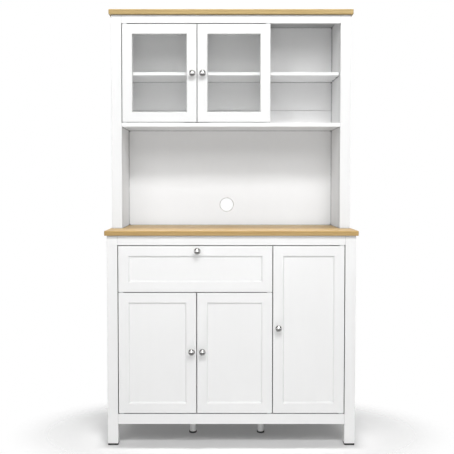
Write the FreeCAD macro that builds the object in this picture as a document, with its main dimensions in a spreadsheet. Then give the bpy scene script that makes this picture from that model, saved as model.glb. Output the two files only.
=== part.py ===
import FreeCAD, Part
import Sketcher
import os
import re

# White kitchen cupboard with a hutch, in millimetres.
# Frame: +Z up, the front faces -Y, +X to the right as seen from the front.
# Origin: on the floor, under the middle of the whole cupboard (knobs included).

doc = FreeCAD.newDocument("cupboard")
sheet = doc.addObject("Spreadsheet::Sheet", "Dims")

SIZES = [
    # overall planes
    ("board_width", 1030), ("case_width", 1012), ("back_plane", 208),
    ("base_front", -180), ("worktop_front", -192), ("hutch_front", -37), ("board_front", -49),
    ("worktop_low", 861), ("board_thick", 20), ("board_low", 1783), ("top_thick", 21.5), ("board_round", 2.5),
    # posts, rails, panels
    ("post_width", 43), ("post_depth", 40), ("post_round", 1.5),
    ("pad_height", 8), ("pad_inset", 1),
    ("panel_thick", 18), ("rail_thick", 18), ("side_low", 88),
    ("low_rail_top", 130), ("high_rail_low", 822), ("hutch_rail_low", 1748),
    ("back_face", 199), ("back_thick", 6), ("ceiling_thick", 3),
    # inner boards
    ("divider_left", 163), ("divider_front", -157), ("deck_top", 628.5),
    ("shelf_thick", 16), ("shelf_front", -130), ("shelf_play", 2), ("shelf_back", 195),
    ("left_shelf_low", 360), ("right_shelf_one", 300), ("right_shelf_two", 560),
    ("hutch_floor_low", 1313.5), ("hutch_floor_top", 1329.5),
    ("hutch_divider_left", 150), ("hutch_divider_right", 166), ("hutch_divider_front", -14),
    ("hutch_middle_left", -151.5), ("hutch_middle_right", -135.5),
    ("thin_shelf_low", 1533), ("thin_shelf_thick", 13), ("thin_shelf_front", -10),
    ("back_joint", 1405), ("back_joint_gap", 1.5), ("joint_strip_half", 10),
    ("hole_across", -16), ("hole_height", 975), ("hole_diameter", 60), ("hole_round", 2.5),
    # round supports under the middle
    ("support_one", -163), ("support_two", 129), ("support_depth", -24),
    ("support_diameter", 26), ("glide_diameter", 32), ("glide_height", 6),
    # doors and drawer front
    ("door_thick", 18), ("door_low", 133), ("door_top", 628), ("drawer_low", 631), ("drawer_top", 819),
    ("left_edge", -460), ("left_free", -143), ("middle_free", -139.6), ("middle_edge", 166.6),
    ("tall_free", 170), ("tall_edge", 460),
    ("recess_margin", 40), ("recess_bevel", 6), ("recess_depth", 7), ("slab_round", 1.2),
    ("glass_low", 1332.5), ("glass_top", 1745), ("glass_left_free", -145), ("glass_right_free", -142),
    ("glass_right_edge", 166.7), ("glass_margin", 43), ("glass_bevel", 3),
    ("rebate_width", 10), ("rebate_depth", 10), ("pane_thick", 4), ("pane_play", 1),
    # door pivots
    ("pin_in", 9), ("pin_back", 6), ("pin_diameter", 5), ("pin_reach", 12), ("pin_clear", 0.05),
    ("plate_thick", 2), ("plate_half", 11), ("plate_inner", 5.4),
    # knobs
    ("knob_diameter", 28), ("knob_out", 28), ("knob_rose", 16), ("knob_neck", 10), ("knob_rim", 19), ("knob_back", 12),
    ("screw_diameter", 4), ("screw_head", 9), ("screw_head_thick", 2.5), ("screw_reach", 12),
    # drawer box
    ("box_left", -450), ("box_right", 150), ("box_wall", 12), ("box_back", 178),
    ("box_low", 655), ("box_top", 785), ("box_floor_low", 663), ("box_floor_thick", 4), ("groove", 6),
    ("runner_low", 690), ("runner_height", 45), ("runner_gauge", 1.5), ("runner_lip", 10),
    ("runner_front", -150), ("runner_back", 190), ("slide_back", 150), ("slide_gap", 0.8),
    # catches, pins, fasteners
    ("catch_gap", 0.7), ("catch_length", 40), ("catch_depth", 20), ("catch_height", 12),
    ("shelf_pin_diameter", 5), ("shelf_pin_half", 8), ("shelf_pin_gap", 0.1),
    ("cam_diameter", 15), ("cam_depth", 12), ("cam_in", 30), ("cam_bolt_diameter", 6), ("cam_bolt_grip", 10),
    ("dowel_diameter", 10), ("dowel_half", 15),
]
VALUE = {}
for row, (alias, value) in enumerate(SIZES, start=1):
    sheet.set("A%d" % row, alias)
    sheet.set("B%d" % row, str(value))
    sheet.setAlias("B%d" % row, alias)
    VALUE[alias] = float(value)
doc.recompute()

NODES = []


def bound(text):
    """A size in words, with every word pointing at its cell."""
    return re.sub(r"[a-z_]+", lambda m: "Dims." + m.group(0), str(text))


def place(obj, x, y, z):
    obj.setExpression("Placement.Base.x", bound(x))
    obj.setExpression("Placement.Base.y", bound(y))
    obj.setExpression("Placement.Base.z", bound(z))


def block(name, x0, x1, y0, y1, z0, z1):
    obj = doc.addObject("Part::Box", name)
    obj.setExpression("Length", bound("(%s) - (%s)" % (x1, x0)))
    obj.setExpression("Width", bound("(%s) - (%s)" % (y1, y0)))
    obj.setExpression("Height", bound("(%s) - (%s)" % (z1, z0)))
    place(obj, x0, y0, z0)
    return obj


TURN = {
    "x": FreeCAD.Rotation(FreeCAD.Vector(0, 1, 0), 90),
    "y": FreeCAD.Rotation(FreeCAD.Vector(1, 0, 0), -90),
    "z": FreeCAD.Rotation(),
}


def rod(name, diameter, length, x, y, z, along="z"):
    """A round bar from the given point along +x, +y or +z."""
    obj = doc.addObject("Part::Cylinder", name)
    obj.Placement = FreeCAD.Placement(FreeCAD.Vector(0, 0, 0), TURN[along])
    obj.setExpression("Radius", bound("(%s)/2" % diameter))
    obj.setExpression("Height", bound(length))
    place(obj, x, y, z)
    return obj


def taper(name, x0, x1, z0, z1, y0, depth, bevel):
    """A shallow tray shape: full size at the front plane y0, narrower by bevel at its floor."""
    obj = doc.addObject("Part::Wedge", name)
    for prop, text in (
        ("Xmin", "0"), ("Ymin", "0"), ("Zmin", "0"),
        ("X2min", bevel), ("Z2min", bevel),
        ("Xmax", "(%s) - (%s)" % (x1, x0)), ("Ymax", depth), ("Zmax", "(%s) - (%s)" % (z1, z0)),
        ("X2max", "(%s) - (%s) - %s" % (x1, x0, bevel)), ("Z2max", "(%s) - (%s) - %s" % (z1, z0, bevel)),
    ):
        obj.setExpression(prop, bound(text))
    place(obj, x0, y0, z0)
    return obj


def cut(name, base, tool):
    obj = doc.addObject("Part::Cut", name)
    obj.Base = base
    obj.Tool = tool
    return obj


def fuse(name, shapes):
    obj = doc.addObject("Part::MultiFuse", name)
    obj.Shapes = shapes
    return obj


def group(name, links):
    obj = doc.addObject("Part::Compound", name)
    obj.Links = links
    return obj


def rounded(name, base, size, pick):
    """Small radius on the edges that pick accepts."""
    doc.recompute()
    obj = doc.addObject("Part::Fillet", name)
    obj.Base = base
    obj.Edges = [
        (number, VALUE[size], VALUE[size])
        for number, edge in enumerate(base.Shape.Edges, start=1)
        if pick(edge)
    ]
    return obj


def node(label, obj):
    obj.Label = label
    NODES.append((label, obj))
    return obj


def upright(edge):
    box = edge.BoundBox
    return box.ZLength > 1 and box.XLength < 0.01 and box.YLength < 0.01


def at_plane(axis, value):
    def pick(edge):
        box = edge.BoundBox
        low, high = (box.YMin, box.YMax) if axis == "y" else (box.XMin, box.XMax)
        return abs(low - value) < 0.01 and abs(high - value) < 0.01
    return pick


# ---------------------------------------------------------------- shelf pins, cams, dowels
# They come first because the boards are bored for them.
HALF = "case_width/2"
INNER = "(case_width/2 - post_width)"

pin_rows = [
    # wall x (face towards the shelf), side (+1: wall is on the left of the shelf), shelf underside, near y, far y
    ("-" + INNER, 1, "left_shelf_low", "shelf_front + 30", "shelf_back - 40"),
    ("divider_left", -1, "left_shelf_low", "shelf_front + 30", "shelf_back - 40"),
    ("(divider_left + panel_thick)", 1, "right_shelf_one", "shelf_front + 30", "shelf_back - 40"),
    (INNER, -1, "right_shelf_one", "shelf_front + 30", "shelf_back - 40"),
    ("(divider_left + panel_thick)", 1, "right_shelf_two", "shelf_front + 30", "shelf_back - 40"),
    (INNER, -1, "right_shelf_two", "shelf_front + 30", "shelf_back - 40"),
    ("-" + INNER, 1, "thin_shelf_low", "thin_shelf_front + 40", "shelf_back - 45"),
    ("hutch_middle_left", -1, "thin_shelf_low", "thin_shelf_front + 40", "shelf_back - 45"),
    ("hutch_middle_right", 1, "thin_shelf_low", "thin_shelf_front + 50", "shelf_back - 55"),
    ("hutch_divider_left", -1, "thin_shelf_low", "thin_shelf_front + 40", "shelf_back - 45"),
    ("hutch_divider_right", 1, "thin_shelf_low", "thin_shelf_front + 50", "shelf_back - 55"),
    (INNER, -1, "thin_shelf_low", "thin_shelf_front + 50", "shelf_back - 55"),
]
pins = []
for number, (wall, side, under, near, far) in enumerate(pin_rows):
    for end, depth in (("near", near), ("far", far)):
        reach = "shelf_pin_half" if "hutch_" not in wall else "shelf_pin_half - 2"
        start = "%s - (%s)" % (wall, reach) if side > 0 else "%s - shelf_pin_half" % wall
        pins.append(rod("pin_%d_%s" % (number, end), "shelf_pin_diameter", "shelf_pin_half + " + reach,
                        start, depth, "%s - shelf_pin_diameter/2 - shelf_pin_gap" % under, "x"))
shelf_pins = node("shelf_pins", group("shelf_pins", pins))

# Cam locks and their bolts hold the fixed boards to the side walls.
cams, cam_bolts = [], []
CAM_ROWS = [
    # board edge x, side (+1: the board is to the right of that edge), board top or under side, up or down, y places
    ("-" + INNER, 1, "low_rail_top - panel_thick", 1, ("-100", "140")),
    (INNER, -1, "low_rail_top - panel_thick", 1, ("-100", "140")),
    ("-" + INNER, 1, "deck_top - panel_thick", 1, ("-60", "140")),
    ("divider_left", -1, "deck_top - panel_thick", 1, ("-60", "140")),
    ("-" + INNER, 1, "hutch_floor_top - cam_depth", 0, ("30", "140")),
    (INNER, -1, "hutch_floor_top - cam_depth", 0, ("30", "140")),
]
for number, (edge, side, low, under, depths) in enumerate(CAM_ROWS):
    for turn, depth in enumerate(depths):
        tag = "%d_%d" % (number, turn)
        centre = "%s + cam_in" % edge if side > 0 else "%s - cam_in" % edge
        cams.append(rod("cam_" + tag, "cam_diameter", "cam_depth", centre, depth, low))
        middle = "%s + panel_thick/2" % low if under else "hutch_floor_top - (hutch_floor_top - hutch_floor_low)/2"
        start = "%s - cam_bolt_grip" % edge if side > 0 else "%s - cam_in + cam_diameter/2 + 0.5" % edge
        cam_bolts.append(rod("bolt_" + tag, "cam_bolt_diameter", "cam_bolt_grip + cam_in - cam_diameter/2 - 0.5",
                             start, depth, middle, "x"))
cam_locks = node("cam_locks", group("cam_locks", cams))
cam_bolt_set = node("cam_bolts", group("cam_bolts", cam_bolts))

# Dowels between the worktop and the hutch posts.
POST_MIDDLE = "(case_width/2 - post_width/2)"
dowels = []
for tag, x in (("left", "-" + POST_MIDDLE), ("right", POST_MIDDLE)):
    for end, y in (("front", "hutch_front + post_depth/2"), ("rear", "back_plane - post_depth/2")):
        dowels.append(rod("dowel_%s_%s" % (tag, end), "dowel_diameter", "2*dowel_half", x, y,
                          "worktop_low + board_thick - dowel_half"))
hutch_dowels = node("hutch_dowels", group("hutch_dowels", dowels))

bores = group("board_bores", [shelf_pins, cam_locks, cam_bolt_set])

# ---------------------------------------------------------------- base carcass
SIDES = (("left", "-" + HALF, "-" + INNER), ("right", INNER, HALF))
posts, pads = [], []
for tag, x0, x1 in SIDES:
    for end, y0, y1 in (("front", "base_front", "base_front + post_depth"),
                        ("rear", "back_plane - post_depth", "back_plane")):
        name = "base_post_%s_%s" % (tag, end)
        posts.append(rounded(name, block(name + "_bar", x0, x1, y0, y1, "pad_height", "worktop_low"),
                             "post_round", upright))
        pads.append(block("pad_%s_%s" % (tag, end), x0 + " + pad_inset", x1 + " - pad_inset",
                          y0 + " + pad_inset", y1 + " - pad_inset", "0", "pad_height"))
node("base_posts", group("base_posts", posts))
node("foot_pads", group("foot_pads", pads))

SIDE_FRONT, SIDE_BACK = "base_front + post_depth", "back_plane - post_depth"
node("base_side_panels", group("base_side_panels", [
    cut("base_left_side_panel", block(
        "base_left_side_board", "-%s - panel_thick" % INNER, "-" + INNER, SIDE_FRONT, SIDE_BACK,
        "side_low", "worktop_low"), bores),
    cut("base_right_side_panel", block(
        "base_right_side_board", INNER, INNER + " + panel_thick", SIDE_FRONT, SIDE_BACK,
        "side_low", "worktop_low"), bores),
]))

RAIL_BACK = "base_front + rail_thick"
node("base_top_rail", block("base_top_rail", "-" + INNER, INNER, "base_front", RAIL_BACK,
                            "high_rail_low", "worktop_low"))
node("base_bottom_rail", block("base_bottom_rail", "-" + INNER, INNER, "base_front", RAIL_BACK,
                               "side_low", "low_rail_top"))
node("base_bottom_panel", cut("base_bottom_panel", block(
    "base_bottom_board", "-" + INNER, INNER, RAIL_BACK, "back_face",
    "low_rail_top - panel_thick", "low_rail_top"), bores))
node("base_divider", cut("base_divider", block(
    "base_divider_board", "divider_left", "divider_left + panel_thick", "divider_front", "back_face",
    "low_rail_top", "worktop_low"), bores))
node("drawer_deck", cut("drawer_deck", block(
    "drawer_deck_board", "-" + INNER, "divider_left", "divider_front", "back_face",
    "deck_top - panel_thick", "deck_top"), bores))
node("base_left_shelf", block("base_left_shelf", "-%s + shelf_play" % INNER, "divider_left - shelf_play",
                              "shelf_front", "shelf_back", "left_shelf_low", "left_shelf_low + shelf_thick"))
node("base_right_shelves", group("base_right_shelves", [
    block("base_right_shelf_%s" % tag, "divider_left + panel_thick + shelf_play", INNER + " - shelf_play",
          "shelf_front", "shelf_back", low, low + " + shelf_thick")
    for tag, low in (("lower", "right_shelf_one"), ("upper", "right_shelf_two"))]))
node("base_back_panel", block("base_back_panel", "-" + INNER, INNER, "back_face", "back_face + back_thick",
                              "side_low", "worktop_low"))

worktop_blank = block("worktop_blank", "-board_width/2", "board_width/2", "worktop_front", "back_plane",
                      "worktop_low", "worktop_low + board_thick")
node("worktop", cut("worktop", rounded("worktop_edged", worktop_blank, "board_round", lambda edge: True),
                    hutch_dowels))

legs, glides = [], []
for tag, x in (("one", "support_one"), ("two", "support_two")):
    legs.append(rod("support_" + tag, "support_diameter", "low_rail_top - panel_thick - glide_height",
                    x, "support_depth", "glide_height"))
    glides.append(rod("glide_" + tag, "glide_diameter", "glide_height", x, "support_depth", "0"))
node("support_legs", group("support_legs", legs))
node("support_leg_glides", group("support_leg_glides", glides))

# ---------------------------------------------------------------- hutch carcass
hutch_bars = []
for tag, x0, x1 in SIDES:
    for end, y0, y1 in (("front", "hutch_front", "hutch_front + post_depth"),
                        ("rear", "back_plane - post_depth", "back_plane")):
        name = "hutch_post_%s_%s" % (tag, end)
        bar = rounded(name + "_edged", block(name + "_bar", x0, x1, y0, y1,
                                             "worktop_low + board_thick", "board_low"), "post_round", upright)
        hutch_bars.append(cut(name, bar, hutch_dowels))
node("hutch_posts", group("hutch_posts", hutch_bars))

HUTCH_LOW = "worktop_low + board_thick"
node("hutch_side_panels", group("hutch_side_panels", [
    cut("hutch_left_side_panel", block(
        "hutch_left_side_board", "-%s - panel_thick" % INNER, "-" + INNER, "hutch_front + post_depth", SIDE_BACK,
        HUTCH_LOW, "board_low"), bores),
    cut("hutch_right_side_panel", block(
        "hutch_right_side_board", INNER, INNER + " + panel_thick", "hutch_front + post_depth", SIDE_BACK,
        HUTCH_LOW, "board_low"), bores),
]))
node("hutch_top_rail", block("hutch_top_rail", "-" + INNER, INNER, "hutch_front", "hutch_front + rail_thick",
                             "hutch_rail_low", "board_low"))
top_blank = block("top_blank", "-board_width/2", "board_width/2", "board_front", "back_plane",
                  "board_low", "board_low + top_thick")
node("top_board", rounded("top_board", top_blank, "board_round", lambda edge: True))
node("hutch_bottom_shelf", cut("hutch_bottom_shelf", block(
    "hutch_bottom_board", "-" + INNER, INNER, "hutch_front", "back_face",
    "hutch_floor_low", "hutch_floor_top"), bores))
# Two upright boards: one behind the meeting edges of the glass doors, one beside the open bay.
node("hutch_dividers", group("hutch_dividers", [
    cut("hutch_divider_" + tag, block(
        "hutch_divider_%s_board" % tag, left, right, "hutch_divider_front", "back_face",
        "hutch_floor_top", "board_low - ceiling_thick"), bores)
    for tag, left, right in (("middle", "hutch_middle_left", "hutch_middle_right"),
                             ("bay", "hutch_divider_left", "hutch_divider_right"))]))
# Thin white lining under the wooden top board.
node("hutch_ceiling_panel", block("hutch_ceiling_panel", "-" + INNER, INNER, "hutch_front + rail_thick", "back_face",
                                  "board_low - ceiling_thick", "board_low"))
node("hutch_shelves", group("hutch_shelves", [
    block("hutch_shelf_" + tag, left, right, "thin_shelf_front", "back_face - shelf_play",
          "thin_shelf_low", "thin_shelf_low + thin_shelf_thick")
    for tag, left, right in (
        ("left", "-%s + shelf_play" % INNER, "hutch_middle_left - shelf_play/2"),
        ("middle", "hutch_middle_right + shelf_play/2", "hutch_divider_left - shelf_play/2"),
        ("right", "hutch_divider_right + shelf_play/2", INNER + " - shelf_play/2"))]))
# The back is two boards that meet a little above the hutch floor, with a flat strip over the joint behind.
node("hutch_back_panel", block("hutch_back_panel", "-" + INNER, INNER, "back_face", "back_face + back_thick",
                               "back_joint + back_joint_gap/2", "board_low"))
niche_board = block("niche_back_board", "-" + INNER, INNER, "back_face", "back_face + back_thick",
                    HUTCH_LOW, "back_joint - back_joint_gap/2")
niche_bored = cut("niche_back_bored", niche_board, rod(
    "cable_hole", "hole_diameter", "back_thick + 20", "hole_across", "back_face - 10", "hole_height", "y"))


def hole_mouth(edge):
    return at_plane("y", VALUE["back_face"])(edge) and abs(edge.BoundBox.XLength - VALUE["hole_diameter"]) < 0.5


node("niche_back_panel", rounded("niche_back_panel", niche_bored, "hole_round", hole_mouth))
node("back_joint_strip", block("back_joint_strip", "-" + INNER, INNER, "back_face + back_thick", "back_plane",
                               "back_joint - joint_strip_half", "back_joint + joint_strip_half"))

# ---------------------------------------------------------------- door pivots
# One steel plate and one pin at the top and at the bottom of each door, hidden in the gaps.
# door: hinge-side edge, side (+1: hinged on its left), front plane, plate z range below and above, plate back y
DOORS = {
    "left_door": ("left_edge", 1, "base_front", "low_rail_top", "deck_top", "base_front + 45", "divider_front + 30"),
    "middle_door": ("middle_edge", -1, "base_front", "low_rail_top", "deck_top", "base_front + 45", "divider_front + 30"),
    "tall_door": ("tall_edge", -1, "base_front", "low_rail_top", "high_rail_low - plate_thick",
                  "base_front + 45", "base_front + rail_thick - 1"),
    "left_glass_door": ("left_edge", 1, "hutch_front", "hutch_floor_top", "hutch_rail_low - plate_thick",
                        "hutch_front + 40", "hutch_front + rail_thick - 1"),
    "right_glass_door": ("glass_right_edge", -1, "hutch_front", "hutch_floor_top", "hutch_rail_low - plate_thick",
                         "hutch_front + 22", "hutch_front + rail_thick - 1"),
}
DOOR_SPAN = {
    "left_door": ("left_edge", "left_free", "door_low", "door_top"),
    "middle_door": ("middle_free", "middle_edge", "door_low", "door_top"),
    "tall_door": ("tall_free", "tall_edge", "door_low", "drawer_top"),
    "left_glass_door": ("left_edge", "glass_left_free", "glass_low", "glass_top"),
    "right_glass_door": ("glass_right_free", "glass_right_edge", "glass_low", "glass_top"),
}
plates, pivot_pins, pivot_bores = [], [], {}
for name, (edge, side, front, low, high, low_back, high_back) in DOORS.items():
    x0, x1, z0, z1 = DOOR_SPAN[name]
    axis_x = "%s + pin_in" % edge if side > 0 else "%s - pin_in" % edge
    axis_y = "%s + pin_back" % front
    left = "%s - plate_inner" % axis_x if side > 0 else "%s - plate_half" % axis_x
    right = "%s + plate_half" % axis_x if side > 0 else "%s + plate_inner" % axis_x
    lower_pin = rod(name + "_lower_pin", "pin_diameter", "(%s) - (%s) + pin_reach" % (z0, low), axis_x, axis_y, low)
    upper_pin = rod(name + "_upper_pin", "pin_diameter", "(%s) + plate_thick - (%s) + pin_reach" % (high, z1),
                    axis_x, axis_y, "%s - pin_reach" % z1)
    pivot_pins += [lower_pin, upper_pin]
    plates.append(cut(name + "_lower_plate", block(name + "_lower_plate_blank", left, right, front + " + 1", low_back,
                                                   low, low + " + plate_thick"), lower_pin))
    plates.append(cut(name + "_upper_plate", block(name + "_upper_plate_blank", left, right, front + " + 1", high_back,
                                                   high, high + " + plate_thick"), upper_pin))
    pivot_bores[name] = group(name + "_bores", [
        rod(name + "_lower_bore", "pin_diameter + 2*pin_clear", "pin_reach + 2", axis_x, axis_y, z0 + " - 1"),
        rod(name + "_upper_bore", "pin_diameter + 2*pin_clear", "pin_reach + 2", axis_x, axis_y,
            "%s - pin_reach - 1" % z1)])
node("door_pivot_plates", group("door_pivot_plates", plates))
node("door_pivot_pins", group("door_pivot_pins", pivot_pins))

# ---------------------------------------------------------------- magnetic catches
BASE_CATCH = "base_front + door_thick + catch_gap"
HUTCH_CATCH = "hutch_front + door_thick + catch_gap"
node("magnetic_catches", group("magnetic_catches", [
    block("catch_left", "left_free - 10 - catch_length", "left_free - 10", BASE_CATCH, BASE_CATCH + " + catch_depth",
          "deck_top - panel_thick - catch_height", "deck_top - panel_thick"),
    block("catch_middle", "middle_free + 10", "middle_free + 10 + catch_length", BASE_CATCH,
          BASE_CATCH + " + catch_depth", "deck_top - panel_thick - catch_height", "deck_top - panel_thick"),
    block("catch_tall", "divider_left + panel_thick", "divider_left + panel_thick + catch_height", BASE_CATCH,
          BASE_CATCH + " + catch_depth", "drawer_top - 20 - catch_length", "drawer_top - 20"),
    block("catch_glass_left", "glass_left_free - 10 - catch_length", "glass_left_free - 10", HUTCH_CATCH,
          HUTCH_CATCH + " + catch_depth", "hutch_floor_top", "hutch_floor_top + catch_height"),
    block("catch_glass_right", "glass_right_free + 10", "glass_right_free + 10 + catch_length", HUTCH_CATCH,
          HUTCH_CATCH + " + catch_depth", "hutch_floor_top", "hutch_floor_top + catch_height"),
]))

# ---------------------------------------------------------------- knobs and their screws
def knob_and_screw(owner, x, front, z):
    """Ball knob on a short neck and rose, held by a pan-head screw from behind."""
    screw = fuse(owner + "_knob_screw", [
        rod(owner + "_screw_shank", "screw_diameter", "door_thick + screw_reach", x, front + " - screw_reach", z, "y"),
        rod(owner + "_screw_pan", "screw_head", "screw_head_thick", x, front + " + door_thick", z, "y"),
    ])
    body = doc.addObject("PartDesign::Body", owner + "_knob_body")
    plane = [f for f in body.Origin.OriginFeatures if f.Role == "XY_Plane"][0]
    profile = body.newObject("Sketcher::SketchObject", owner + "_knob_profile")
    profile.AttachmentSupport = (plane, [""])
    profile.MapMode = "FlatFace"
    head, rose, neck = VALUE["knob_diameter"] / 2, VALUE["knob_rose"] / 2, VALUE["knob_neck"] / 2
    out, rim, back = VALUE["knob_out"], VALUE["knob_rim"], VALUE["knob_back"]
    points = [FreeCAD.Vector(*p) for p in (
        (0, 0, 0), (rose, 0, 0), (rose, -2, 0), (neck, -5, 0), (neck, -back, 0), (head, -rim, 0), (0, -out, 0))]
    for first, last in ((0, 1), (1, 2), (2, 3), (3, 4)):
        profile.addGeometry(Part.LineSegment(points[first], points[last]), False)
    profile.addGeometry(Part.Arc(points[4], FreeCAD.Vector(head * 0.78, -(back + (rim - back) * 0.33), 0), points[5]), False)
    centre = (out * out - head * head - rim * rim) / (2 * (out - rim))
    dome = out - centre
    profile.addGeometry(Part.Arc(points[5], FreeCAD.Vector(dome * 0.5, -(centre + dome * 0.8660254), 0), points[6]), False)
    profile.addGeometry(Part.LineSegment(points[6], points[0]), False)
    rule = Sketcher.Constraint

    def end_at(geo, point):
        return 1 if (profile.getPoint(geo, 1) - point).Length < 1e-6 else 2

    ends = {(geo, number): end_at(geo, points[number]) for geo in range(7) for number in (geo, (geo + 1) % 7)}
    for geo in range(7):
        number = (geo + 1) % 7
        profile.addConstraint(rule("Coincident", geo, ends[geo, number], number, ends[number, number]))
    profile.addConstraint(rule("Coincident", 0, ends[0, 0], -1, 1))
    profile.addConstraint(rule("Horizontal", 0))
    for geo in (1, 3, 6):
        profile.addConstraint(rule("Vertical", geo))
    back_bend = profile.Geometry[4].Radius
    for name, number, value, cell in (
            ("rose", 1, rose, "knob_rose/2"), ("neck", 4, neck, "knob_neck/2"), ("head", 5, head, "knob_diameter/2")):
        index = profile.addConstraint(rule("DistanceX", -1, 1, number, ends[number, number], value))
        profile.renameConstraint(index, name)
        profile.setExpression("Constraints." + name, bound(cell))
    for name, number, value, cell in (
            ("lip", 2, 2, "2"), ("flare", 3, 5, "5"), ("back", 4, back, "knob_back"),
            ("rim", 5, rim, "knob_rim"), ("out", 6, out, "knob_out")):
        index = profile.addConstraint(rule("DistanceY", number, ends[number, number], -1, 1, value))
        profile.renameConstraint(index, name)
        profile.setExpression("Constraints." + name, bound(cell))
    index = profile.addConstraint(rule("Radius", 4, back_bend))
    profile.renameConstraint(index, "back_bend")
    index = profile.addConstraint(rule("Radius", 5, dome))
    profile.renameConstraint(index, "dome")
    profile.setExpression("Constraints.dome", bound(
        "knob_out - (knob_out*knob_out - knob_diameter*knob_diameter/4 - knob_rim*knob_rim)/(2*(knob_out - knob_rim))"))
    turn = body.newObject("PartDesign::Revolution", owner + "_knob_turn")
    turn.Profile = profile
    turn.ReferenceAxis = (profile, ["V_Axis"])
    turn.Angle = 360
    body.Tip = turn
    place(body, x, front, z)
    node(owner + "_knob", cut(owner + "_knob", body, screw))
    node(owner + "_knob_screw", screw)
    return screw


# ---------------------------------------------------------------- routed doors
def slab(name, x0, x1, front, z0, z1, screw, bores_for_pins):
    blank = block(name + "_blank", x0, x1, front, front + " + door_thick", z0, z1)
    edged = rounded(name + "_edged", blank, "slab_round", at_plane("y", VALUE[front]))
    tray = taper(name + "_recess", x0 + " + recess_margin", x1 + " - recess_margin",
                 z0 + " + recess_margin", z1 + " - recess_margin", front, "recess_depth", "recess_bevel")
    tools = [tray, screw] + ([bores_for_pins] if bores_for_pins else [])
    return node(name, cut(name, edged, group(name + "_tools", tools)))


screw = knob_and_screw("left_door", "-162", "base_front", "388")
slab("left_door", "left_edge", "left_free", "base_front", "door_low", "door_top", screw, pivot_bores["left_door"])
screw = knob_and_screw("middle_door", "-118", "base_front", "388")
slab("middle_door", "middle_free", "middle_edge", "base_front", "door_low", "door_top", screw,
     pivot_bores["middle_door"])
screw = knob_and_screw("tall_door", "191.5", "base_front", "485")
slab("tall_door", "tall_free", "tall_edge", "base_front", "door_low", "drawer_top", screw, pivot_bores["tall_door"])


# ---------------------------------------------------------------- glass doors
def glass_door(name, x0, x1, knob_x):
    z0, z1, front = "glass_low", "glass_top", "hutch_front"
    screw = knob_and_screw(name, knob_x, front, "1536")
    wx0, wx1 = x0 + " + glass_margin", x1 + " - glass_margin"
    wz0, wz1 = z0 + " + glass_margin", z1 + " - glass_margin"
    blank = block(name + "_blank", x0, x1, front, front + " + door_thick", z0, z1)
    edged = rounded(name + "_edged", blank, "slab_round", at_plane("y", VALUE[front]))
    window = block(name + "_window", wx0, wx1, front + " - 5", front + " + door_thick + 5", wz0, wz1)
    bevel = taper(name + "_window_bevel", wx0 + " - glass_bevel", wx1 + " + glass_bevel",
                  wz0 + " - glass_bevel", wz1 + " + glass_bevel", front, "glass_bevel", "glass_bevel")
    rx0, rx1 = wx0 + " - rebate_width", wx1 + " + rebate_width"
    rz0, rz1 = wz0 + " - rebate_width", wz1 + " + rebate_width"
    rebate = block(name + "_rebate", rx0, rx1, front + " + door_thick - rebate_depth", front + " + door_thick + 5",
                   rz0, rz1)
    node(name + "_frame", cut(name + "_frame", edged, group(name + "_tools", [
        window, bevel, rebate, screw, pivot_bores[name]])))
    pane_front = front + " + door_thick - rebate_depth"
    bead_front = pane_front + " + pane_thick"
    node(name + "_pane", block(name + "_pane", rx0 + " + pane_play", rx1 + " - pane_play", pane_front, bead_front,
                               rz0 + " + pane_play", rz1 + " - pane_play"))
    back = front + " + door_thick"
    node(name + "_beads", group(name + "_beads", [
        block(name + "_bead_low", rx0, rx1, bead_front, back, rz0, wz0),
        block(name + "_bead_high", rx0, rx1, bead_front, back, wz1, rz1),
        block(name + "_bead_left", rx0, wx0, bead_front, back, wz0, wz1),
        block(name + "_bead_right", wx1, rx1, bead_front, back, wz0, wz1),
    ]))


glass_door("left_glass_door", "left_edge", "glass_left_free", "-163")
glass_door("right_glass_door", "glass_right_free", "glass_right_edge", "-120")

# ---------------------------------------------------------------- drawer
screw = knob_and_screw("drawer", "-138.5", "base_front", "799")
slab("drawer_front", "left_edge", "middle_edge", "base_front", "drawer_low", "drawer_top", screw, None)
FRONT_BACK = "base_front + door_thick"
floor = node("drawer_bottom", block(
    "drawer_bottom", "box_left + box_wall - groove", "box_right - box_wall + groove", FRONT_BACK,
    "box_back - box_wall + groove", "box_floor_low", "box_floor_low + box_floor_thick"))
node("drawer_sides", group("drawer_sides", [
    cut("drawer_left_side", block(
        "drawer_left_board", "box_left", "box_left + box_wall", FRONT_BACK, "box_back", "box_low", "box_top"), floor),
    cut("drawer_right_side", block(
        "drawer_right_board", "box_right - box_wall", "box_right", FRONT_BACK, "box_back", "box_low", "box_top"), floor),
]))
node("drawer_back", cut("drawer_back", block(
    "drawer_back_board", "box_left + box_wall", "box_right - box_wall", "box_back - box_wall", "box_back",
    "box_low", "box_top"), floor))


def channel(name, web_x0, web_x1, lip_x0, lip_x1, y0, y1, z0, z1):
    """C-shaped pressed rail: a web and two lips."""
    return fuse(name, [
        block(name + "_web", web_x0, web_x1, y0, y1, z0, z1),
        block(name + "_lip_low", lip_x0, lip_x1, y0, y1, z0, z0 + " + runner_gauge"),
        block(name + "_lip_high", lip_x0, lip_x1, y0, y1, z1 + " - runner_gauge", z1),
    ])


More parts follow.
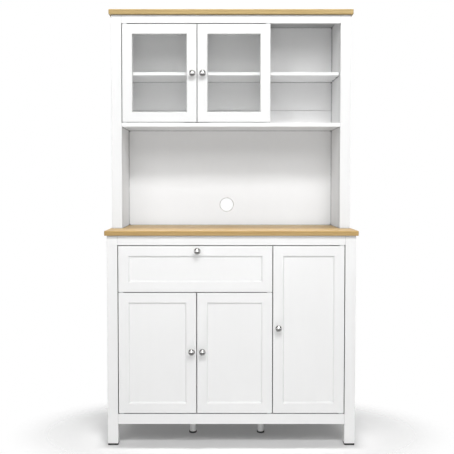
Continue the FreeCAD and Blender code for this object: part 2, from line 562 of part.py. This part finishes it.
R0, R1 = "runner_low", "runner_low + runner_height"
node("drawer_runners", group("drawer_runners", [
    channel("runner_left", "-" + INNER, "-%s + runner_gauge" % INNER, "-" + INNER, "-%s + runner_lip" % INNER,
            "runner_front", "runner_back", R0, R1),
    channel("runner_right", "divider_left - runner_gauge", "divider_left", "divider_left - runner_lip", "divider_left",
            "runner_front", "runner_back", R0, R1),
]))
S0, S1 = "runner_low + runner_gauge + slide_gap", "runner_low + runner_height - runner_gauge - slide_gap"
node("drawer_slides", group("drawer_slides", [
    channel("slide_left", "box_left - runner_gauge", "box_left", "box_left - runner_lip", "box_left",
            "runner_front", "slide_back", S0, S1),
    channel("slide_right", "box_right", "box_right + runner_gauge", "box_right", "box_right + runner_lip",
            "runner_front", "slide_back", S0, S1),
]))

# ---------------------------------------------------------------- check and write
doc.recompute()
bad = [obj.Name for obj in doc.Objects if "Invalid" in obj.State or "Error" in obj.State]
for label, obj in NODES:
    shape = obj.Shape
    if shape.isNull() or not shape.isValid() or not shape.Solids:
        bad.append(label)
if bad:
    raise SystemExit("objects that failed: " + ", ".join(bad))

os.makedirs("parts", exist_ok=True)
for label, obj in NODES:
    obj.Shape.exportStep("parts/%s.step" % label)
    box = obj.Shape.BoundBox
    print("%-26s solids %2d  volume %12.1f  x %8.2f %8.2f  y %8.2f %8.2f  z %8.2f %8.2f" % (
        label, len(obj.Shape.Solids), obj.Shape.Volume, box.XMin, box.XMax, box.YMin, box.YMax, box.ZMin, box.ZMax))
print("nodes", len(NODES))
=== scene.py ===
import math

import bpy
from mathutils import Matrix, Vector

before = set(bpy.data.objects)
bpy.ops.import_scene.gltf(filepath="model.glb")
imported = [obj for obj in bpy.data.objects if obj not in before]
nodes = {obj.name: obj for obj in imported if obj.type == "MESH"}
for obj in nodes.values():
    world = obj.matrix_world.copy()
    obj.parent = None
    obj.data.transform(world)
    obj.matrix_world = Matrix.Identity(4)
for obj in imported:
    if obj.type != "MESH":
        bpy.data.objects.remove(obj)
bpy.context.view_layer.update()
scene = bpy.context.scene


# ---------------------------------------------------------------- node helpers
class Graph:
    """A material's node tree with short ways to add nodes and links."""

    def __init__(self, name):
        self.mat = bpy.data.materials.new(name)
        self.mat.use_nodes = True
        self.tree = self.mat.node_tree
        self.tree.nodes.clear()
        self.out = self.tree.nodes.new("ShaderNodeOutputMaterial")
        self.coord = None

    def node(self, kind, **values):
        n = self.tree.nodes.new(kind)
        for k, v in values.items():
            setattr(n, k, v)
        return n

    def link(self, a, b):
        self.tree.links.new(a, b)

    def feed(self, socket, value):
        if isinstance(value, bpy.types.NodeSocket):
            self.link(value, socket)
        else:
            socket.default_value = value

    def place(self):
        """Position in the part's own frame, in metres."""
        if self.coord is None:
            self.coord = self.node("ShaderNodeTexCoord").outputs["Object"]
        return self.coord

    def mapped(self, scale, offset=(0, 0, 0)):
        n = self.node("ShaderNodeMapping")
        self.link(self.place(), n.inputs["Vector"])
        n.inputs["Scale"].default_value = scale
        n.inputs["Location"].default_value = offset
        return n.outputs["Vector"]

    def noise(self, vector, scale=1.0, detail=2.0, rough=0.5, distortion=0.0):
        n = self.node("ShaderNodeTexNoise")
        self.link(vector, n.inputs["Vector"])
        n.inputs["Scale"].default_value = scale
        n.inputs["Detail"].default_value = detail
        n.inputs["Roughness"].default_value = rough
        n.inputs["Distortion"].default_value = distortion
        return n.outputs["Fac"]

    def voronoi(self, vector, scale, feature="F1", out="Distance"):
        n = self.node("ShaderNodeTexVoronoi", feature=feature)
        self.link(vector, n.inputs["Vector"])
        n.inputs["Scale"].default_value = scale
        return n.outputs[out]

    def math(self, op, a, b=None, c=None, clamp=False):
        n = self.node("ShaderNodeMath", operation=op, use_clamp=clamp)
        for i, v in enumerate((a, b, c)):
            if v is not None:
                self.feed(n.inputs[i], v)
        return n.outputs[0]

    def span(self, value, a, b, lo, hi, kind="LINEAR"):
        n = self.node("ShaderNodeMapRange", interpolation_type=kind)
        self.link(value, n.inputs["Value"])
        for name, v in (("From Min", a), ("From Max", b), ("To Min", lo), ("To Max", hi)):
            n.inputs[name].default_value = v
        return n.outputs["Result"]

    def ramp(self, value, stops):
        n = self.node("ShaderNodeValToRGB")
        self.link(value, n.inputs["Fac"])
        e = n.color_ramp.elements
        while len(e) < len(stops):
            e.new(0.5)
        for el, (at, colour) in zip(e, stops):
            el.position = at
            el.color = (*colour, 1.0)
        return n.outputs["Color"]

    def mix(self, fac, a, b, blend="MIX"):
        n = self.node("ShaderNodeMix", data_type="RGBA", blend_type=blend)
        self.feed(n.inputs["Factor"], fac)
        for i, v in ((6, a), (7, b)):
            self.feed(n.inputs[i], v if isinstance(v, bpy.types.NodeSocket) else (*v, 1.0))
        return n.outputs[2]

    def bump(self, height, strength, distance, normal=None):
        n = self.node("ShaderNodeBump")
        self.link(height, n.inputs["Height"])
        n.inputs["Strength"].default_value = strength
        n.inputs["Distance"].default_value = distance
        if normal is not None:
            self.link(normal, n.inputs["Normal"])
        return n.outputs["Normal"]

    def painted_gap_shade(self):
        """Painted shade for the narrow gaps round doors and drawer and for close inside corners: dark where the surface
        is closed in within 10 mm.
        """
        n = self.node("ShaderNodeAmbientOcclusion", samples=8)
        n.inputs["Distance"].default_value = 0.010
        return self.ramp(n.outputs["AO"], [(0.04, (0.02,) * 3), (0.25, (0.06,) * 3), (0.45, (0.25,) * 3),
                                           (0.62, (0.80,) * 3), (0.74, (1.0,) * 3)])

    def grey_to_others(self, colour, amount):
        """The colour as the eye sees it, and mostly its grey where it only lights or mirrors in other pieces."""
        path = self.node("ShaderNodeLightPath")
        bw = self.node("ShaderNodeRGBToBW")
        self.link(colour, bw.inputs[0])
        wash = self.node("ShaderNodeCombineColor")
        for i in range(3):
            self.link(bw.outputs[0], wash.inputs[i])
        seen_by = self.math("MAXIMUM", path.outputs["Is Diffuse Ray"], path.outputs["Is Glossy Ray"])
        return self.mix(self.math("MULTIPLY", seen_by, amount), colour, wash.outputs[0])

    def surface(self, **sockets):
        p = self.node("ShaderNodeBsdfPrincipled")
        for name, v in sockets.items():
            s = p.inputs[name.replace("_", " ")]
            if isinstance(v, tuple) and len(v) == 3 and s.type == "RGBA":
                v = (*v, 1.0)
            self.feed(s, v)
        self.link(p.outputs[0], self.out.inputs["Surface"])
        return p


# ---------------------------------------------------------------- finishes
def white(name, light, dark, rough, peel, seed, bump=0.12, hole=None):
    """Satin white coating: a faint drift of tone, roller texture, a fine orange peel and painted shade in narrow gaps.
    A hole (x, z, radius) gets a dark band of bare-board colour along its rim, which also serves as painted shade for
    the rim."""
    g = Graph(name)
    drift = g.noise(g.mapped((3.1, 3.1, 2.3), (seed, seed * 0.7, 0)), 1.0, 4.0, 0.6)
    streak = g.noise(g.mapped((35, 35, 6), (seed, 0, 0)), 1.0, 3.0, 0.55)
    speck = g.noise(g.mapped((420, 420, 420)), 1.0, 2.0, 0.5)
    tone = g.math("ADD", g.math("MULTIPLY", drift, 0.7), g.math("MULTIPLY", streak, 0.3))
    colour = g.ramp(tone, [(0.30, dark), (0.70, light)])
    # Painted shade: the white is darkened in narrow gaps and close inside corners, where shade falls.
    colour = g.mix(1.0, colour, g.painted_gap_shade(), "MULTIPLY")
    # The band round the hole has a bare-board colour and also serves as painted shade for the hole's rim.
    if hole:
        sep = g.node("ShaderNodeSeparateXYZ")
        g.link(g.place(), sep.inputs[0])
        dx, dz = g.math("SUBTRACT", sep.outputs["X"], hole[0]), g.math("SUBTRACT", sep.outputs["Z"], hole[1])
        away = g.math("SQRT", g.math("ADD", g.math("MULTIPLY", dx, dx), g.math("MULTIPLY", dz, dz)))
        rim_bare_and_shaded = g.math("ADD", away, g.span(speck, 0.3, 0.7, -0.0004, 0.0004))
        colour = g.mix(g.span(rim_bare_and_shaded, hole[2] - 0.0006, hole[2], 1.0, 0.0), colour, (0.36, 0.335, 0.30))
    r = g.math("ADD", g.span(streak, 0.3, 0.7, rough - 0.05, rough + 0.05),
               g.span(speck, 0.3, 0.7, -0.03, 0.03))
    fine = g.noise(g.mapped((peel, peel, peel)), 1.0, 2.0, 0.45)
    height = g.math("ADD", g.math("MULTIPLY", fine, 0.7), g.math("MULTIPLY", streak, 0.5))
    g.surface(Base_Color=colour, Roughness=r, Normal=g.bump(height, bump, 0.0004),
              Specular_IOR_Level=0.45)
    return g.mat


def timber(name, pith, seed, light, mid, dark, pore):
    """Varnished long-grain oak: growth rings about a pith line along X, fibres, open pores and
    broad bands of tone, so ends show ring arcs and faces show streaks."""
    g = Graph(name)
    warp = g.noise(g.mapped((1.1, 4.5, 4.5), (seed, 0, 0)), 1.0, 3.0, 0.5)
    warp2 = g.noise(g.mapped((2.8, 16, 16), (seed, 3, 0)), 1.0, 2.0, 0.5)
    sep = g.node("ShaderNodeSeparateXYZ")
    g.link(g.place(), sep.inputs[0])
    dy = g.math("ADD", g.math("SUBTRACT", sep.outputs["Y"], pith[0]), g.span(warp, 0.2, 0.8, -0.045, 0.045))
    dz = g.math("ADD", g.math("SUBTRACT", sep.outputs["Z"], pith[1]), g.span(warp2, 0.2, 0.8, -0.012, 0.012))
    r = g.math("SQRT", g.math("ADD", g.math("MULTIPLY", dy, dy), g.math("MULTIPLY", dz, dz)))
    ring = g.math("MULTIPLY", r, 135.0)
    phase = g.math("FRACT", ring)
    year = g.node("ShaderNodeTexWhiteNoise", noise_dimensions="1D")
    g.link(g.math("FLOOR", ring), year.inputs["W"])
    fibre = g.noise(g.mapped((5, 210, 210), (seed, 0, 0)), 1.0, 5.0, 0.6)
    fine = g.noise(g.mapped((14, 760, 760), (0, seed, 0)), 1.0, 2.0, 0.5)
    band = g.noise(g.mapped((0.55, 13, 13), (seed * 2.0, 0, 0)), 1.0, 3.0, 0.55)

    early = g.ramp(phase, [(0.0, (0.75,) * 3), (0.10, (1.0,) * 3), (0.32, (0.25,) * 3), (1.0, (0.0,) * 3)])
    base = g.ramp(g.math("ADD", g.math("MULTIPLY", fibre, 0.55), g.math("MULTIPLY", band, 0.45)),
                  [(0.30, dark), (0.50, mid), (0.70, light)])
    base = g.mix(g.math("MULTIPLY", g.span(early, 0.0, 1.0, 0.0, 0.52), g.span(year.outputs["Value"], 0, 1, 0.35, 1.0)),
                 base, dark)
    pores = g.math("MULTIPLY", g.span(fine, 0.60, 0.70, 0.0, 1.0), g.span(early, 0.0, 1.0, 0.25, 1.0))
    colour = g.grey_to_others(g.mix(g.math("MULTIPLY", pores, 0.65), base, pore), 0.85)
    rough = g.math("ADD", g.span(fibre, 0.3, 0.7, 0.37, 0.45), g.math("MULTIPLY", pores, 0.18))
    height = g.math("SUBTRACT", g.math("MULTIPLY", fibre, 0.5), pores)
    g.surface(Base_Color=colour, Roughness=rough, Normal=g.bump(height, 0.25, 0.0004),
              Specular_IOR_Level=0.3)
    return g.mat


def metal(name, light, dark, rough, spread, scratch, bump):
    """Plated metal with fine scratches and a cloudy change of shine."""
    g = Graph(name)
    cloud = g.noise(g.mapped((60, 60, 60)), 1.0, 4.0, 0.6)
    line = g.noise(g.mapped((scratch, scratch * 0.12, scratch)), 1.0, 3.0, 0.6)
    colour = g.ramp(g.math("ADD", g.math("MULTIPLY", cloud, 0.7), g.math("MULTIPLY", line, 0.3)),
                    [(0.32, dark), (0.68, light)])
    r = g.math("ADD", g.span(cloud, 0.3, 0.7, rough - spread, rough + spread),
               g.span(line, 0.35, 0.65, -0.03, 0.03))
    g.surface(Base_Color=colour, Metallic=1.0, Roughness=r, Normal=g.bump(line, bump, 0.0001))
    return g.mat


def spangle(name):
    """Zinc plating: small crystals of slightly different grey."""
    g = Graph(name)
    cell = g.voronoi(g.mapped((520, 520, 520)), 1.0, out="Color")
    one = g.node("ShaderNodeSeparateColor")
    g.link(cell, one.inputs[0])
    cloud = g.noise(g.mapped((90, 90, 90)), 1.0, 3.0, 0.6)
    tone = g.math("ADD", g.math("MULTIPLY", one.outputs[0], 0.4), g.math("MULTIPLY", cloud, 0.6))
    colour = g.ramp(tone, [(0.2, (0.46, 0.47, 0.48)), (0.8, (0.66, 0.67, 0.68))])
    g.surface(Base_Color=colour, Metallic=1.0, Roughness=g.span(tone, 0.2, 0.8, 0.30, 0.46),
              Normal=g.bump(cloud, 0.08, 0.0002))
    return g.mat


def plastic(name, light, dark, rough, grain):
    """Moulded plastic with a spark-eroded grain."""
    g = Graph(name)
    pit = g.voronoi(g.mapped((grain, grain, grain)), 1.0)
    cloud = g.noise(g.mapped((40, 40, 40)), 1.0, 3.0, 0.55)
    colour = g.ramp(cloud, [(0.3, dark), (0.7, light)])
    g.surface(Base_Color=colour, Roughness=g.span(pit, 0.0, 0.8, rough - 0.06, rough + 0.06),
              Normal=g.bump(pit, 0.25, 0.0003))
    return g.mat


def powder(name):
    """White powder coat with its fine pebbled skin."""
    g = Graph(name)
    pebble = g.noise(g.mapped((900, 900, 900)), 1.0, 2.0, 0.5)
    cloud = g.noise(g.mapped((25, 25, 25)), 1.0, 3.0, 0.55)
    colour = g.ramp(cloud, [(0.3, (0.88, 0.88, 0.88)), (0.7, (0.92, 0.92, 0.918))])
    g.surface(Base_Color=colour, Roughness=g.span(cloud, 0.3, 0.7, 0.38, 0.48),
              Normal=g.bump(pebble, 0.2, 0.0003))
    return g.mat


def glass(name):
    """Clear float glass: lamps and the light between surfaces pass it straight, and its tint is a trace of green."""
    g = Graph(name)
    smear = g.noise(g.mapped((9, 9, 5)), 1.0, 4.0, 0.6)
    surface = g.surface(Base_Color=(0.998, 0.999, 0.998), Roughness=g.span(smear, 0.45, 0.75, 0.0, 0.03),
                        Transmission_Weight=1.0, IOR=1.45)
    path = g.node("ShaderNodeLightPath")
    for rays in ("Is Diffuse Ray", "Is Shadow Ray"):
        clear = g.node("ShaderNodeBsdfTransparent")
        clear.inputs["Color"].default_value = (0.980, 0.982, 0.980, 1.0)
        both = g.node("ShaderNodeMixShader")
        g.link(path.outputs[rays], both.inputs[0])
        g.link(surface.outputs[0], both.inputs[1])
        g.link(clear.outputs[0], both.inputs[2])
        surface = both
    g.link(surface.outputs[0], g.out.inputs["Surface"])
    return g.mat


LACQUER = white("white_lacquer", (0.850, 0.850, 0.848), (0.825, 0.825, 0.823), 0.38, 700, 0.0)
PANEL = white("white_melamine", (0.915, 0.915, 0.915), (0.893, 0.893, 0.893), 0.46, 1300, 4.0)
FOIL = white("white_foil", (0.910, 0.910, 0.910), (0.890, 0.890, 0.890), 0.50, 380, 9.0)
# Grey for the hutch ceiling panel: painted shade for the dim top of the hutch, where little light reaches.
CEILING_PAINTED_SHADE = white("ceiling_grey_painted_shade", (0.46, 0.46, 0.455), (0.41, 0.41, 0.405), 0.55, 520, 6.0)
BORED = white("white_foil_bored", (0.910, 0.910, 0.910), (0.890, 0.890, 0.890), 0.50, 380, 9.0,
              hole=(-0.016, 0.975, 0.0323))
OAK_TOP = timber("oak_worktop", (0.03, 0.58), 0.0,
                 (0.550, 0.383, 0.166), (0.447, 0.293, 0.110), (0.321, 0.193, 0.061), (0.172, 0.093, 0.032))
OAK_CAP = timber("oak_top_board", (0.05, 1.50), 7.3,
                 (0.568, 0.430, 0.200), (0.476, 0.343, 0.146), (0.350, 0.232, 0.082), (0.190, 0.112, 0.040))
BEECH = timber("beech_dowel", (-0.3, 0.5), 2.1,
               (0.66, 0.50, 0.33), (0.58, 0.42, 0.26), (0.47, 0.32, 0.18), (0.33, 0.21, 0.11))
NICKEL = metal("satin_nickel", (0.60, 0.597, 0.590), (0.49, 0.487, 0.480), 0.13, 0.03, 1500, 0.05)
ZINC = spangle("zinc_plate")
BLACK = plastic("black_polymer", (0.030, 0.030, 0.031), (0.018, 0.018, 0.019), 0.52, 1100)
WHITE_PLASTIC = plastic("white_polymer", (0.80, 0.80, 0.79), (0.74, 0.74, 0.73), 0.38, 1500)
POWDER = powder("white_powder_coat")
GLASS = glass("clear_float_glass")

BY_SLOT = {"white_paint": LACQUER, "golden_wood": OAK_TOP, "dowel_wood": BEECH, "clear_glass": GLASS,
           "nickel": NICKEL, "zinc_steel": ZINC, "black_plastic": BLACK, "white_metal": POWDER,
           "white_plastic": WHITE_PLASTIC}
BY_NODE = {"top_board": OAK_CAP, "niche_back_panel": BORED, "hutch_ceiling_panel": CEILING_PAINTED_SHADE}
for n in ("base_side_panels", "base_bottom_panel", "base_divider", "drawer_deck", "base_left_shelf",
          "base_right_shelves", "hutch_side_panels", "hutch_bottom_shelf", "hutch_dividers",
          "hutch_shelves", "drawer_sides", "drawer_back"):
    BY_NODE[n] = PANEL
for n in ("base_back_panel", "hutch_back_panel", "drawer_bottom"):
    BY_NODE[n] = FOIL

for name, o in nodes.items():
    for s in o.material_slots:
        s.material = BY_NODE.get(name) or BY_SLOT[s.material.name.split(".")[0]]

# ---------------------------------------------------------------- eased edges on the plain boards
EASED = {"base_top_rail": 0.0008, "base_bottom_rail": 0.0008, "hutch_top_rail": 0.0008,
         "base_left_shelf": 0.0006, "base_right_shelves": 0.0006, "hutch_shelves": 0.0006,
         "back_joint_strip": 0.0004, "drawer_back": 0.0005,
         "drawer_sides": 0.0008, "left_glass_door_beads": 0.0008, "right_glass_door_beads": 0.0008,
         "left_glass_door_pane": 0.0004, "right_glass_door_pane": 0.0004, "magnetic_catches": 0.0008,
         "foot_pads": 0.0012, "base_back_panel": 0.0004, "hutch_back_panel": 0.0004,
         "drawer_bottom": 0.0004, "drawer_slides": 0.0003, "drawer_runners": 0.0003}
for name, width in EASED.items():
    o = nodes[name]
    weld = o.modifiers.new("weld", "WELD")
    weld.merge_threshold = 1e-6
    ease = o.modifiers.new("ease", "BEVEL")
    ease.width = width
    ease.segments = 2
    ease.limit_method = "ANGLE"
    ease.angle_limit = math.radians(40)
    ease.harden_normals = True

# ---------------------------------------------------------------- floor, light, camera
# A round floor that fades into the white surround a little way from the cabinet, so no edge or horizon shows.
ring, spokes = [0.0, 0.8, 1.6, 2.4, 3.2, 4.0, 5.0, 6.0, 8.0], 96
verts, faces = [(0, 0, 0)], []
for r in ring[1:]:
    for i in range(spokes):
        a = 2 * math.pi * i / spokes
        verts.append((r * math.cos(a), r * math.sin(a), 0))
for i in range(spokes):
    j = (i + 1) % spokes
    faces.append((0, 1 + i, 1 + j))
    for k in range(len(ring) - 2):
        a, b = 1 + k * spokes, 1 + (k + 1) * spokes
        faces.append((a + i, b + i, b + j, a + j))
mesh = bpy.data.meshes.new("floor")
mesh.from_pydata(verts, [], faces)
floor = bpy.data.objects.new("floor", mesh)
scene.collection.objects.link(floor)
g = Graph("pale_floor")
oval = g.node("ShaderNodeVectorMath", operation="LENGTH")
g.link(g.mapped((1 / 0.98, 1 / 0.54, 0)), oval.inputs[0])
fade = g.span(oval.outputs["Value"], 0.50, 1.0, 0.0, 1.0, "SMOOTHSTEP")
soft = g.noise(g.mapped((2.0, 2.0, 2.0)), 1.0, 3.0, 0.5)
path = g.node("ShaderNodeLightPath")
tone = g.ramp(soft, [(0.3, (0.68, 0.68, 0.68)), (0.7, (0.70, 0.70, 0.70))])
# In reflections the floor shows mostly dark grey: a painted dark reflection, so knobs and glass mirror a dark ground.
tone = g.mix(g.math("MULTIPLY", path.outputs["Is Glossy Ray"], 0.7), tone, (0.10, 0.10, 0.10))
p = g.surface(Base_Color=tone, Roughness=0.75, Specular_IOR_Level=0.2)
clear = g.node("ShaderNodeBsdfTransparent")
both = g.node("ShaderNodeMixShader")
g.link(g.math("MULTIPLY", fade, path.outputs["Is Camera Ray"]), both.inputs[0])
g.link(p.outputs[0], both.inputs[1])
g.link(clear.outputs[0], both.inputs[2])
g.link(both.outputs[0], g.out.inputs["Surface"])
mesh.materials.append(g.mat)

# White surround, dim on the side that the object faces, as in a studio with a dark working side.
world = bpy.data.worlds.new("studio")
scene.world = world
world.use_nodes = True
t = world.node_tree
t.nodes.clear()
wout = t.nodes.new("ShaderNodeOutputWorld")
seen = t.nodes.new("ShaderNodeBackground")
seen.inputs["Color"].default_value = (1, 1, 1, 1)
seen.inputs["Strength"].default_value = 1.0
lit = t.nodes.new("ShaderNodeBackground")
lit.inputs["Strength"].default_value = 0.18
wcoord = t.nodes.new("ShaderNodeTexCoord")
wsep = t.nodes.new("ShaderNodeSeparateXYZ")
t.links.new(wcoord.outputs["Generated"], wsep.inputs[0])
wmap = t.nodes.new("ShaderNodeMapRange")
wmap.interpolation_type = "SMOOTHSTEP"
t.links.new(wsep.outputs["Y"], wmap.inputs["Value"])
for k, v in (("From Min", -0.95), ("From Max", -0.35), ("To Min", 0.30), ("To Max", 1.0)):
    wmap.inputs[k].default_value = v
wlow = t.nodes.new("ShaderNodeMapRange")
wlow.interpolation_type = "SMOOTHSTEP"
t.links.new(wsep.outputs["Z"], wlow.inputs["Value"])
for k, v in (("From Min", -0.05), ("From Max", 0.45), ("To Min", 0.15), ("To Max", 1.0)):
    wlow.inputs[k].default_value = v
wmul = t.nodes.new("ShaderNodeMath")
wmul.operation = "MULTIPLY"
t.links.new(wmap.outputs["Result"], wmul.inputs[0])
t.links.new(wlow.outputs["Result"], wmul.inputs[1])
# The wall behind is brighter above the object's foot, so the sides and the back read as white too.
wrear = t.nodes.new("ShaderNodeMapRange")
wrear.interpolation_type = "SMOOTHSTEP"
t.links.new(wsep.outputs["Y"], wrear.inputs["Value"])
for k, v in (("From Min", 0.05), ("From Max", 0.60), ("To Min", 0.0), ("To Max", 1.0)):
    wrear.inputs[k].default_value = v
wup = t.nodes.new("ShaderNodeMapRange")
wup.interpolation_type = "SMOOTHSTEP"
t.links.new(wsep.outputs["Z"], wup.inputs["Value"])
for k, v in (("From Min", 0.10), ("From Max", 0.45), ("To Min", 0.0), ("To Max", 5.0)):
    wup.inputs[k].default_value = v
wmore = t.nodes.new("ShaderNodeMath")
wmore.operation = "MULTIPLY_ADD"
t.links.new(wrear.outputs["Result"], wmore.inputs[0])
t.links.new(wup.outputs["Result"], wmore.inputs[1])
t.links.new(wmul.outputs[0], wmore.inputs[2])
# The side walls glow down to the floor, which lights the ground just inside the legs.
wabs = t.nodes.new("ShaderNodeMath")
wabs.operation = "ABSOLUTE"
t.links.new(wsep.outputs["X"], wabs.inputs[0])
wflank = t.nodes.new("ShaderNodeMapRange")
wflank.interpolation_type = "SMOOTHSTEP"
t.links.new(wabs.outputs[0], wflank.inputs["Value"])
for k, v in (("From Min", 0.80), ("From Max", 0.97), ("To Min", 0.0), ("To Max", 4.0)):
    wflank.inputs[k].default_value = v
wfoot = t.nodes.new("ShaderNodeMapRange")
wfoot.interpolation_type = "SMOOTHSTEP"
t.links.new(wsep.outputs["Z"], wfoot.inputs["Value"])
for k, v in (("From Min", 0.0), ("From Max", 0.2), ("To Min", 0.0), ("To Max", 1.0)):
    wfoot.inputs[k].default_value = v
wwide = t.nodes.new("ShaderNodeMath")
wwide.operation = "MULTIPLY_ADD"
t.links.new(wflank.outputs["Result"], wwide.inputs[0])
t.links.new(wfoot.outputs["Result"], wwide.inputs[1])
t.links.new(wmore.outputs[0], wwide.inputs[2])
wcol = t.nodes.new("ShaderNodeCombineColor")
for i in range(3):
    t.links.new(wwide.outputs[0], wcol.inputs[i])
t.links.new(wcol.outputs[0], lit.inputs["Color"])
# What glass and metal mirror: a pale band near eye level that fades out higher up.
veil = t.nodes.new("ShaderNodeBackground")
veil.inputs["Strength"].default_value = 1.65
wband = t.nodes.new("ShaderNodeMapRange")
wband.interpolation_type = "SMOOTHSTEP"
t.links.new(wsep.outputs["Z"], wband.inputs["Value"])
for k, v in (("From Min", 0.15), ("From Max", 0.30), ("To Min", 1.0), ("To Max", 0.08)):
    wband.inputs[k].default_value = v
wpale = t.nodes.new("ShaderNodeCombineColor")
for i in range(3):
    t.links.new(wband.outputs["Result"], wpale.inputs[i])
t.links.new(wpale.outputs[0], veil.inputs["Color"])
wpath = t.nodes.new("ShaderNodeLightPath")
wglow = t.nodes.new("ShaderNodeMixShader")
t.links.new(wpath.outputs["Is Glossy Ray"], wglow.inputs[0])
t.links.new(lit.outputs[0], wglow.inputs[1])
t.links.new(veil.outputs[0], wglow.inputs[2])
wmix = t.nodes.new("ShaderNodeMixShader")
t.links.new(wpath.outputs["Is Camera Ray"], wmix.inputs[0])
t.links.new(wglow.outputs[0], wmix.inputs[1])
t.links.new(seen.outputs[0], wmix.inputs[2])
t.links.new(wmix.outputs[0], wout.inputs["Surface"])


def softbox(name, at, to, size, power):
    d = bpy.data.lights.new(name, "AREA")
    d.shape = "RECTANGLE"
    d.size, d.size_y = size
    d.energy = power
    o = bpy.data.objects.new(name, d)
    scene.collection.objects.link(o)
    o.location = at
    o.rotation_euler = (Vector(to) - Vector(at)).to_track_quat("-Z", "Y").to_euler()
    return o


softbox("key_right", (1.6, -3.0, 3.0), (0, 0, 1.1), (1.5, 1.5), 27)
softbox("key_left", (-1.6, -3.0, 3.0), (0, 0, 1.1), (1.5, 1.5), 34)
softbox("front_high", (0.4, -2.75, 3.9), (0, -0.1, 0.6), (1.6, 0.6), 81)
softbox("front_low", (0, -4.0, 0.7), (0, 0, 0.45), (2.4, 0.5), 4.0).data.spread = 1.2
for i in range(8):
    x = -0.5005 + 0.143 * i
    d = bpy.data.lights.new("top_spot_%d" % i, "SPOT")
    d.energy = 229
    d.spot_size, d.spot_blend = 0.146, 1.0
    d.shadow_soft_size = 0.06
    o = bpy.data.objects.new(d.name, d)
    scene.collection.objects.link(o)
    o.location = (x, -0.09, 4.6)

cam = bpy.data.cameras.new("camera")
cam.sensor_width = 36.0
cam.lens = 706.0 / 454 * 36.0
cam.shift_x, cam.shift_y = 0.0139, -0.044
cam.clip_start, cam.clip_end = 0.05, 50
eye = bpy.data.objects.new("camera", cam)
scene.collection.objects.link(eye)
eye.location = (-0.0434, -3.0387, 1.0777)
eye.rotation_euler = (math.radians(90 - 2.013), 0, 0)
scene.camera = eye
scene.view_settings.view_transform = "Standard"
